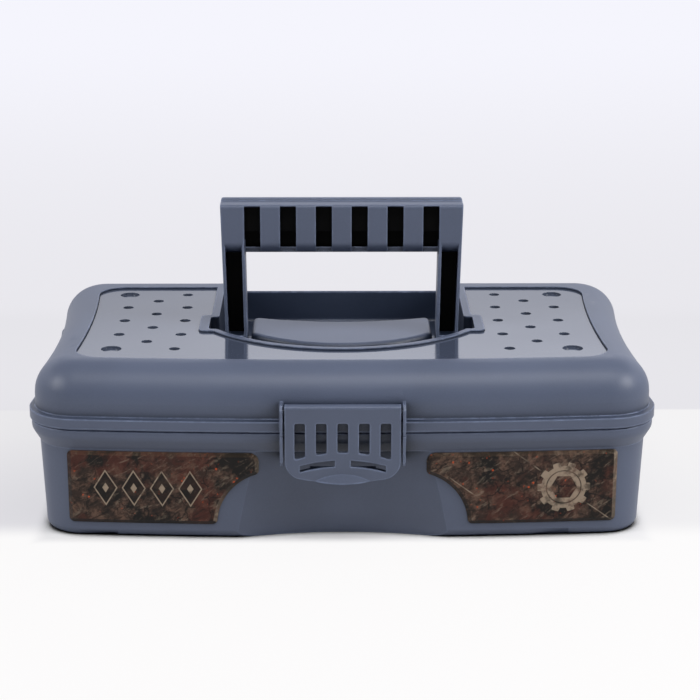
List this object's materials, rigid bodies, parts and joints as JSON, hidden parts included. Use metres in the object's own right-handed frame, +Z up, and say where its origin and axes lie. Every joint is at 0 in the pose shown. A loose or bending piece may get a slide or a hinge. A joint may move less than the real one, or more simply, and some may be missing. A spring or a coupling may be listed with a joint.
{
  "type": "tool storage caddy",
  "caption": "Low moulded tool box with waisted sides, a hinged domed lid with an inlaid gloss panel, a folding carry handle, a slotted snap latch and a lift-out tray.",
  "frame": {"origin": "centre of the flat underside of the tub, on the floor", "axes": "+X along the box to the right seen from the latch, +Y from the latch to the hinges, +Z up"},
  "size_m": [0.2898, 0.1935, 0.1426],
  "materials": {
    "slate_plastic": "satin moulded",
    "gloss_panel": "polished",
    "black_plastic": "matt",
    "label_print": "printed film",
    "pin_steel": "drawn wire",
    "tray_plastic": "satin moulded"
  },
  "bodies": {
    "base": {"base_tub": "slate_plastic", "label_left": "label_print", "label_right": "label_print", "hinge_pin_left": "pin_steel", "hinge_pin_right": "pin_steel"},
    "tray": {"lift_out_tray": "tray_plastic"},
    "lid": {"lid_shell": "slate_plastic", "lid_top_panel": "gloss_panel", "latch_pin": "pin_steel"},
    "latch": {"front_latch": "slate_plastic"},
    "handle": {"handle_frame": "slate_plastic", "handle_core": "black_plastic", "handle_pin_left": "pin_steel", "handle_pin_right": "pin_steel"}
  },
  "joints": [
    {"name": "lid_hinge", "type": "hinge", "parent": "base", "child": "lid", "pos_m": [0, 0.0911, 0.0545], "axis": [-1, 0, 0], "range_deg": [0, 105]},
    {"name": "latch_flip", "type": "hinge", "parent": "lid", "child": "latch", "pos_m": [0, -0.0926, 0.0638], "axis": [-1, 0, 0], "range_deg": [0, 95]},
    {"name": "handle_fold", "type": "hinge", "parent": "lid", "child": "handle", "pos_m": [0, -0.0065, 0.073], "axis": [-1, 0, 0], "range_deg": [0, 90]},
    {"name": "tray_lift", "type": "slide", "parent": "base", "child": "tray", "axis": [0, 0, 1], "range_m": [0, 0.004]}
  ]
}
